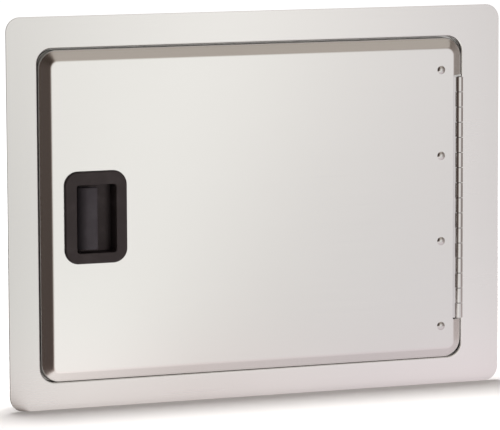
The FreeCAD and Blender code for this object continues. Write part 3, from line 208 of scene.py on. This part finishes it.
def brushed_steel(name, colour, roughness, fold, painted_shading_share):
    """Satin stainless sheet: fine scratches across the width, faint clouds and duller patches. Its
    folded sides, from the fold's depth on, are left as rolled: greyer and duller. Painted shading,
    scaled by its share, lightens and darkens the colour slowly from corner to corner: painted
    light and shade in place of the light that the sheet reflects."""
    made, tree = new_material(name)
    where = tree.place()
    along = tree.times(where, GRAIN_STRETCH)
    scratches = tree.noise(along, scale=2600.0, detail=4.0, roughness=0.7)
    bands = tree.noise(along, scale=420.0, detail=3.0, roughness=0.6)
    clouds = tree.noise(where, scale=7.0, detail=3.0, roughness=0.5)
    across, inward, up = tree.parts(where)
    rolled = inward.between(fold, fold + FOLD_WIDTH)
    # Painted shading: the colour lightens and darkens slowly across the sheet, standing in for the
    # light it reflects.
    painted_shading = (across * 0.33 - across * up * 0.85 - across * across * 0.96) * painted_shading_share
    light = scratches.swing(0.05) + bands.swing(0.03) + clouds.swing(0.03) + painted_shading + 1.0
    rough = bands.swing(0.05) + clouds.swing(0.06) + rolled * 0.08 + roughness
    relief = tree.bump(scratches * 0.7 + bands * 0.3, strength=0.12, distance=0.00003)
    tree.bare_metal(colour, light * (1.0 - rolled * 0.12), rough, relief)
    return made


def drawn_steel(name, colour, roughness, scale=900.0):
    """Drawn or pressed metal: even, with fine specks and small dents."""
    made, tree = new_material(name)
    where = tree.place()
    specks = tree.noise(where, scale, detail=4.0, roughness=0.6)
    dents = tree.noise(where, scale / DENT_SIZE, detail=2.0, roughness=0.5)
    uneven = specks.swing(0.12) + dents.swing(0.08)
    relief = tree.bump(specks * 0.4 + dents * 0.6, strength=0.25, distance=0.00006)
    tree.bare_metal(colour, uneven + 1.0, uneven + roughness, relief)
    return made


def moulded(name, colour, roughness, grain, depth, shine, painted_shade_span=None):
    """Moulded plastic or rubber: fine spark-eroded grain with rubbed, slightly smoother patches.
    Given a span across the door, the colour left of it is painted darker, at half, and blends back
    over the span: painted shade on the side that turns away from the light."""
    made, tree = new_material(name)
    where = tree.place()
    pits = tree.noise(where, grain, detail=3.0, roughness=0.6)
    rubbed = tree.noise(where, scale=60.0, detail=3.0, roughness=0.5).between(0.45, 0.75)
    tint = tree.blend((pits - 0.35) * 0.5 + rubbed * 0.3, colour, toned(colour, 1.5, 0.006))
    # Painted shade: left of the span across the door the colour is halved, for the side turned away
    # from the light.
    if painted_shade_span:
        across = tree.parts(where)[0]
        tint = tree.blend(across.between(*painted_shade_span), toned(colour, 0.5), tint)
    tree.surface({"Base Color": tint, "Roughness": pits.swing(0.20) - rubbed * 0.10 + roughness,
                  "Specular IOR Level": shine, "Normal": tree.bump(pits, depth, distance=0.00012)})
    return made


FINISHES = {
    # The frame's sheet carries painted shading, the door's none.
    "frame_steel": brushed_steel("frame_steel", rgb(0.90, 0.89, 0.875), 0.26, fold=0.002, painted_shading_share=1.0),
    "door_steel": brushed_steel("door_steel", rgb(0.87, 0.862, 0.845), 0.24, fold=-0.004, painted_shading_share=0.0),
    "hinge_steel": drawn_steel("hinge_steel", rgb(0.76, 0.745, 0.735), 0.13),
    "rivet_steel": drawn_steel("rivet_steel", rgb(0.74, 0.73, 0.72), 0.16),
    "plated_steel": drawn_steel("plated_steel", rgb(0.66, 0.66, 0.63), 0.34, scale=2400.0),
    "spring_steel": drawn_steel("spring_steel", rgb(0.50, 0.50, 0.51), 0.25),
    "latch_black": moulded("latch_black", rgb(0.022, 0.017, 0.017), 0.50,
                           grain=1500.0, depth=0.3, shine=0.17),
    # The paddle's pivot side carries painted shade.
    "paddle_black": moulded("paddle_black", rgb(0.026, 0.022, 0.025), 0.42,
                            grain=1900.0, depth=0.2, shine=0.2, painted_shade_span=(-0.2125, -0.2045)),
    "gasket_rubber": moulded("gasket_rubber", rgb(0.012, 0.011, 0.011), 0.85,
                             grain=900.0, depth=0.6, shine=0.2),
    "bumper_rubber": moulded("bumper_rubber", rgb(0.10, 0.10, 0.10), 0.75,
                             grain=900.0, depth=0.5, shine=0.3),
}
PIN_BLACK = drawn_steel("pin_black", rgb(0.035, 0.032, 0.032), 0.45)
# The hinge pin is painted dark: painted shade inside the knuckles, which shows through the gaps
# between them.
PIN_PAINTED_SHADE = drawn_steel("pin_painted_shade", rgb(0.17, 0.16, 0.155), 0.38)

for part in frame["record"]["subparts"]:
    materials = nodes[part["node"]].data.materials
    materials.clear()
    materials.append(FINISHES[part["material_slot"]])
nodes["paddle_pin"].data.materials[0] = PIN_BLACK
nodes["hinge_pin"].data.materials[0] = PIN_PAINTED_SHADE


# Shapes

def skin(name, rings, slot):
    """A closed mesh over rings of as many points each, with a flat cap on the first and last."""
    count = len(rings[0])
    last = (len(rings) - 1) * count
    faces = [tuple(reversed(range(count))), tuple(range(last, last + count))]
    for start in range(0, last, count):
        for i in range(count):
            k = (i + 1) % count
            faces.append((start + i, start + k, start + count + k, start + count + i))
    mesh = bpy.data.meshes.new(name)
    mesh.from_pydata([point for ring in rings for point in ring], [], faces)
    mesh.shade_smooth()
    mesh.materials.append(FINISHES[slot])
    piece = bpy.data.objects.new(name, mesh)
    bpy.context.scene.collection.objects.link(piece)
    return piece


def rounded_loop(points, steps):
    """A smooth closed curve through the points, with so many steps from one to the next."""
    spots = [Vector(point) for point in points]
    count = len(spots)
    curve = []
    for i in range(count):
        before, here, there, after = (spots[(i + k) % count] for k in (-1, 0, 1, 2))
        for step in range(steps):
            t = step / steps
            curve.append(0.5 * (2 * here + t * (there - before)
                                + t * t * (2 * before - 5 * here + 4 * there - after)
                                + t ** 3 * (3 * here - before - 3 * there + after)))
    return curve


def soft_ended(outline, low, high, radius):
    """Rings of an upright prism over an anticlockwise outline, whose two ends are rounded."""
    turns = (0, 18, 40, 65, 90)
    levels = [(turn, low, 1) for turn in reversed(turns)] + [(turn, high, -1) for turn in turns]
    rings = []
    for turn, end, way in levels:
        inset = radius * (1 - math.cos(math.radians(turn)))
        height = end + way * radius * (1 - math.sin(math.radians(turn)))
        ring = []
        for i, spot in enumerate(outline):
            run = (outline[(i + 1) % len(outline)] - outline[i - 1]).normalized()
            ring.append((spot.x - run.y * inset, spot.y + run.x * inset, height))
        rings.append(ring)
    return rings


def joint(name):
    """A joint as the part's record gives it."""
    return next(entry for entry in frame["record"]["behaviour"]["joints"] if entry["name"] == name)


# Paddle. Its outline counts from the pivot: across the door, and into it.

PADDLE_OUTLINE = [
    (0.0, 0.00305), (-0.00215, 0.0021), (-0.00307, -0.0001), (-0.0023, -0.0026),
    (-0.00015, -0.0045), (0.00255, -0.00605), (0.00655, -0.00775), (0.01155, -0.00835),
    (0.01605, -0.00805), (0.01855, -0.00735), (0.01915, -0.00625), (0.01865, -0.00495),
    (0.01555, -0.00415), (0.01055, -0.0038), (0.00495, -0.0034), (0.0035, -0.0011),
    (0.00205, 0.0021)]
PADDLE_STEPS = 5
GRIP_EDGE = 0.0009
ARM_LENGTH = 0.0224
ARM_HALF_THICK = 0.0015
ARM_HALF_HIGH = 0.004
ARM_TIP = 0.002
TIP_STEPS = 18
ARM_EDGE = 0.0003


def make_paddle():
    """The moulded grip with its crowned front, and the arm behind it that moves the bolt."""
    x, y, _ = joint("paddle_pull")["pos_m"]
    low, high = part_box("latch_paddle")
    bolt_low, bolt_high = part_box("latch_bolt")
    points = [(x + across, y + inward) for across, inward in PADDLE_OUTLINE]
    sides = soft_ended(rounded_loop(points, PADDLE_STEPS), low[2], high[2], GRIP_EDGE)
    grip = skin("paddle_grip", sides, "paddle_black")
    middle = (bolt_low[2] + bolt_high[2]) / 2
    bend = math.atan2(-math.sqrt(ARM_TIP ** 2 - ARM_HALF_THICK ** 2), ARM_HALF_THICK)
    sweep = [bend + (math.pi - 2 * bend) * i / TIP_STEPS for i in range(TIP_STEPS + 1)]
    shank = [Vector((x - ARM_HALF_THICK, y)), Vector((x + ARM_HALF_THICK, y))]
    tip = [Vector((x + ARM_TIP * math.cos(turn), y + ARM_LENGTH + ARM_TIP * math.sin(turn)))
           for turn in sweep]
    sides = soft_ended(shank + tip, middle - ARM_HALF_HIGH, middle + ARM_HALF_HIGH, ARM_EDGE)
    arm = skin("paddle_arm", sides, "paddle_black")
    arm.parent = grip
    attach(grip, "paddle")
    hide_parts("latch_paddle")


# Bolt spring

WIRE_RADIUS = 0.00035
WIRE_SIDES = 12
COIL_TURNS = 8.0
CLOSED_TURNS = 1.0
CLOSED_RISE = 2 * WIRE_RADIUS * 1.15
RINGS_PER_TURN = 28


def make_bolt_coil():
    """The compression spring behind the bolt: a round wire in open turns, closed at both ends."""
    low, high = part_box("bolt_spring")
    middle = ((low[1] + high[1]) / 2, (low[2] + high[2]) / 2)
    radius = min(high[1] - low[1], high[2] - low[2]) / 2 - WIRE_RADIUS
    start, length = low[0] + WIRE_RADIUS, high[0] - low[0] - 2 * WIRE_RADIUS
    open_turns = COIL_TURNS - 2 * CLOSED_TURNS
    open_rise = length - 2 * CLOSED_TURNS * CLOSED_RISE
    count = int(COIL_TURNS * RINGS_PER_TURN)
    rings = []
    for i in range(count + 1):
        turn = COIL_TURNS * i / count
        opened = min(max((turn - CLOSED_TURNS) / open_turns, 0.0), 1.0)
        closed = min(turn, CLOSED_TURNS) + max(turn - (COIL_TURNS - CLOSED_TURNS), 0.0)
        angle = 2 * math.pi * turn
        out = Vector((0.0, math.cos(angle), math.sin(angle)))
        centre = Vector((start + CLOSED_RISE * closed + open_rise * opened, *middle)) + out * radius
        ring = []
        for k in range(WIRE_SIDES):
            around = 2 * math.pi * k / WIRE_SIDES
            ring.append(centre + out * (WIRE_RADIUS * math.cos(around))
                        - Vector((WIRE_RADIUS * math.sin(around), 0, 0)))
        rings.append(ring)
    coil = skin("bolt_coil", rings, "spring_steel")
    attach(coil, "door")
    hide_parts("bolt_spring")
    travel = joint("bolt_slide")["range_m"][1]
    1 - travel / (high[0] - low[0])
    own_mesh(coil)


# Corner plates. Their outer and inner edges count from the centre of the corner's arc.

PLATE_OUTER = 0.0169
PLATE_INNER = 0.0044
PLATE_THICK = 0.0012
PLATE_EDGE = 0.0002
PLATE_LEG = 0.0035
PLATE_STEPS = 12
STOP_TO_CORNER = 0.004


def make_corner_plates():
    """Thin plates round the opening's corners, from one stop's end to the next and flush with the
    stops' fronts, that close the view past the door. Each station of a plate is the way out from
    the arc's centre and a shift along the wall."""
    (left, front, _), (right, _, _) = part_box("stop_top")
    (_, _, bottom), (_, _, top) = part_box("stop_latch")
    section = [(PLATE_OUTER, PLATE_EDGE), (PLATE_OUTER - PLATE_EDGE, 0),
               (PLATE_INNER + PLATE_EDGE, 0), (PLATE_INNER, PLATE_EDGE),
               (PLATE_INNER, PLATE_THICK), (PLATE_OUTER, PLATE_THICK)]
    for row, z, up in (("top", top, 1), ("bottom", bottom, -1)):
        for end, x, out in (("left", left, -1), ("right", right, 1)):
            centre = Vector((x + out * STOP_TO_CORNER, front, z + up * STOP_TO_CORNER))
            stations = [(Vector((out, 0, 0)), Vector((0, 0, -up * PLATE_LEG)))]
            for i in range(PLATE_STEPS + 1):
                turn = math.radians(90 * i / PLATE_STEPS)
                stations.append((Vector((out * math.cos(turn), 0, up * math.sin(turn))), Vector()))
            stations.append((Vector((0, 0, up)), Vector((-out * PLATE_LEG, 0, 0))))
            facing = section if out * up < 0 else section[::-1]
            rings = [[centre + shift + way * reach + Vector((0, back, 0)) for reach, back in facing]
                     for way, shift in stations]
            plate = skin(f"corner_plate_{row}_{end}", rings, "frame_steel")
            plate.data.set_sharp_from_angle(angle=math.radians(30))
            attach(plate, "frame")


make_paddle()
make_bolt_coil()
make_corner_plates()


# Studio

WHITE = rgb(1, 1, 1)
BLACK = rgb(0, 0, 0)
FLOOR = -0.2163
FLOOR_REACH = 16.0
CARD_REACH = 1.8
CARD_TOP = 1.75
CAMERA_SPOT = Vector((-1.386657, -3.668607, 0.460445))
CAMERA_TURN = (math.radians(-20.56), math.radians(6.87), math.radians(0.27))    # turn, tilt, roll
CAMERA_LENS = 254.88

# What the flat front mirrors, by the place across it where that shows. The tones lean: they lie
# further right towards the bottom.
DOOR_TONES = [
    (-0.32, rgb(0.93, 0.92, 0.895)), (-0.14, rgb(1.12, 1.12, 1.085)),
    (-0.05, rgb(1.08, 1.075, 1.04)), (0.10, rgb(0.87, 0.845, 0.825)),
    (0.30, rgb(0.80, 0.78, 0.785)), (0.45, rgb(0.83, 0.80, 0.815)), (0.70, rgb(0.64, 0.60, 0.59)),
    (1.25, rgb(0.35, 0.31, 0.29)), (1.90, rgb(0.27, 0.235, 0.215))]
DOOR_TOP = 0.18
LEAN = -0.46

# The mirrored line of sight: how far it runs sideways and drops for each metre forwards, and its
# whole drop from the door to the front card.
SIGHT_RUN = 0.375
SIGHT_DROP = 0.1287
CARD_DROP = 0.217

# How much of the tones is left beyond the door's left end, by degrees from straight ahead of it.
LEFT_END = -0.27
LEFT_FALL = [
    (-40, rgb(0.085, 0.067, 0.060)), (-25, rgb(0.18, 0.15, 0.135)), (-14, rgb(0.38, 0.33, 0.31)),
    (-5, rgb(0.62, 0.58, 0.56)), (8, WHITE)]

# How much of them the floor gives, by the distance in front, and the front card, by height.
# Close to the door the floor's mirrored tone darkens: a painted shadow, seen in reflections alone.
NEAR_TONES = [
    (0.018, rgb(0.79, 0.735, 0.74)), (0.034, rgb(0.94, 0.88, 0.89)),
    (0.20, rgb(0.96, 0.915, 0.925)), (0.50, rgb(0.93, 0.93, 0.93))]
RISE_TONES = [
    (FLOOR, rgb(0.93, 0.93, 0.93)), (-0.02, WHITE), (0.25, WHITE), (1.6, rgb(0.48, 0.44, 0.40))]


def staged(name, corners, faces, material):
    """A mesh of the studio, which isn't part of the object."""
    mesh = bpy.data.meshes.new(name)
    mesh.from_pydata(corners, [], faces)
    mesh.materials.append(material)
    thing = bpy.data.objects.new(name, mesh)
    bpy.context.scene.collection.objects.link(thing)
    return thing


def level_square(reach, height):
    """The corners of a level square around the object."""
    return [(x * reach, y * reach, height) for x, y in ((-1, -1), (1, -1), (1, 1), (-1, 1))]


def left_shade(tree, x, y):
    """Dark beyond the door's left end, whole from straight ahead of it on."""
    ahead = {0: x - LEFT_END, 1: y * -1.0}
    turn = tree.add("ShaderNodeMath", {"operation": "ARCTAN2"}, ahead) * (180 / math.pi)
    return tree.steps(turn, LEFT_FALL)


def mirrored_tone(tree, height):
    """What the metal reflects: brightest a little left of the middle, falling slowly to the right,
    and dark from the door's left end on. The height is the one on the door where it shows."""
    x, y, _ = tree.parts(tree.place())
    tone = tree.steps(x + y * SIGHT_RUN + (height - DOOR_TOP) * LEAN, DOOR_TONES)
    return tree.times(tone, left_shade(tree, x, y))


def studio_floor():
    """A pale floor. Away from the object, where the softbox no longer reaches, it adds a little
    light of its own for the camera, so that it stays white and still shows the object's shadow."""
    made, tree = new_material("floor_white")
    x, y, _ = tree.parts(tree.place())
    far = ((x * x + y * y) ** 0.5).between(0.6, 2.2)
    matt = tree.add("ShaderNodeBsdfDiffuse", {}, {"Color": rgb(0.82, 0.80, 0.79)})
    added = tree.glow(tree.blend(far, BLACK, rgb(0.75, 0.76, 0.77)))
    seen = tree.add("ShaderNodeAddShader", {}, {0: matt, 1: added})
    tone = mirrored_tone(tree, y * -SIGHT_DROP + FLOOR)
    mirrored = tree.glow(tree.times(tone, tree.steps(y * -1.0, NEAR_TONES)))
    shown = tree.either(tree.ray("Camera").most(tree.ray("Transmission")), matt, seen)
    tree.finish("ShaderNodeOutputMaterial", tree.either(tree.ray("Glossy"), shown, mirrored))
    staged("floor", level_square(FLOOR_REACH, FLOOR), [(0, 1, 2, 3)], made)


def studio_world():
    """White to the camera and in reflections, and a plain level of light for everything else."""
    world = bpy.data.worlds.new("studio")
    bpy.context.scene.world = world
    tree = Tree(world)
    white = tree.ray("Camera").most(tree.ray("Glossy")).most(tree.ray("Transmission"))
    tint = tree.blend(white, rgb(0.38, 0.36, 0.35), WHITE)
    tree.finish("ShaderNodeOutputWorld", tree.add("ShaderNodeBackground", {}, {"Color": tint}))


def mirror_card(name, corners, faces, paint):
    """A card of the studio that stands outside the picture and shows in reflections alone."""
    made, tree = new_material(name)
    tree.finish("ShaderNodeOutputMaterial", tree.glow(paint(tree)))
    card = staged(name, corners, faces, made)
    for sight in ("camera", "diffuse", "shadow", "transmission", "volume_scatter"):
        setattr(card, f"visible_{sight}", False)


def round_card(name, first, last, paint):
    """A card bent around the object, from one turn to another. Turns are degrees from straight in
    front, positive to the right."""
    count = 48
    corners = []
    for i in range(count + 1):
        turn = math.radians(first + (last - first) * i / count)
        corners += [(math.sin(turn) * CARD_REACH, -math.cos(turn) * CARD_REACH, height)
                    for height in (FLOOR, CARD_TOP)]
    faces = [(2 * i, 2 * i + 1, 2 * i + 3, 2 * i + 2) for i in range(count)]
    mirror_card(name, corners, faces, paint)


def front_paint(tree):
    """The front card darkens upwards, which gives the door's upper fold its soft shade."""
    height = tree.parts(tree.place())[2]
    tone = mirrored_tone(tree, height.least(0.0) + CARD_DROP)
    return tree.times(tone, tree.steps(height, RISE_TONES))


def back_paint(tree):
    """The back card is one even tone."""
    return rgb(0.70, 0.69, 0.68)


def top_paint(tree):
    """The card overhead is dark above the front's left, which shades the door's top left corner."""
    x, y, _ = tree.parts(tree.place())
    shade = tree.blend(y.between(-0.3, 0.3), left_shade(tree, x, y), WHITE)
    return tree.times(shade, (0.46, 0.415, 0.375))


def studio_cards():
    round_card("front_card", -140, 140, front_paint)
    round_card("back_card", 140, 220, back_paint)
    mirror_card("top_card", level_square(CARD_REACH, CARD_TOP), [(0, 1, 2, 3)], top_paint)


def softbox(name, spot, aim, size, power):
    """A lamp for everything but mirror reflections, which the white world and the cards give."""
    lamp = bpy.data.lights.new(name, "AREA")
    lamp.shape = "RECTANGLE"
    lamp.size, lamp.size_y = size
    lamp.energy = power
    thing = bpy.data.objects.new(name, lamp)
    bpy.context.scene.collection.objects.link(thing)
    thing.location = spot
    thing.rotation_euler = (Vector(aim) - Vector(spot)).to_track_quat("-Z", "Y").to_euler()
    thing.visible_glossy = False


def studio_camera():
    """The photograph's view, through a long lens."""
    turn, tilt, roll = CAMERA_TURN
    level = Vector((math.cos(turn), math.sin(turn), 0.0))
    back = Vector((level.y * math.cos(tilt), -level.x * math.cos(tilt), math.sin(tilt)))
    rise = back.cross(level)
    right = math.cos(roll) * level - math.sin(roll) * rise
    up = math.sin(roll) * level + math.cos(roll) * rise
    lens = bpy.data.cameras.new("camera")
    lens.lens = CAMERA_LENS
    lens.sensor_width = 36.0
    lens.clip_end = 60.0
    camera = bpy.data.objects.new("camera", lens)
    bpy.context.scene.collection.objects.link(camera)
    axes = Matrix((right, up, back)).transposed().to_4x4()
    camera.matrix_world = Matrix.Translation(CAMERA_SPOT) @ axes
    bpy.context.scene.camera = camera


studio_floor()
studio_world()
studio_cards()
softbox("overhead_box", spot=(0.0, 0.27, FLOOR + 2.2), aim=(0.0, 0.27, FLOOR),
        size=(0.9, 0.50), power=58.0)
softbox("front_box", spot=(0.3, -2.6, FLOOR + 0.24), aim=(-0.18, 0.0, 0.0),
        size=(0.7, 0.3), power=46.0)
studio_camera()
bpy.context.scene.view_settings.view_transform = "Standard"
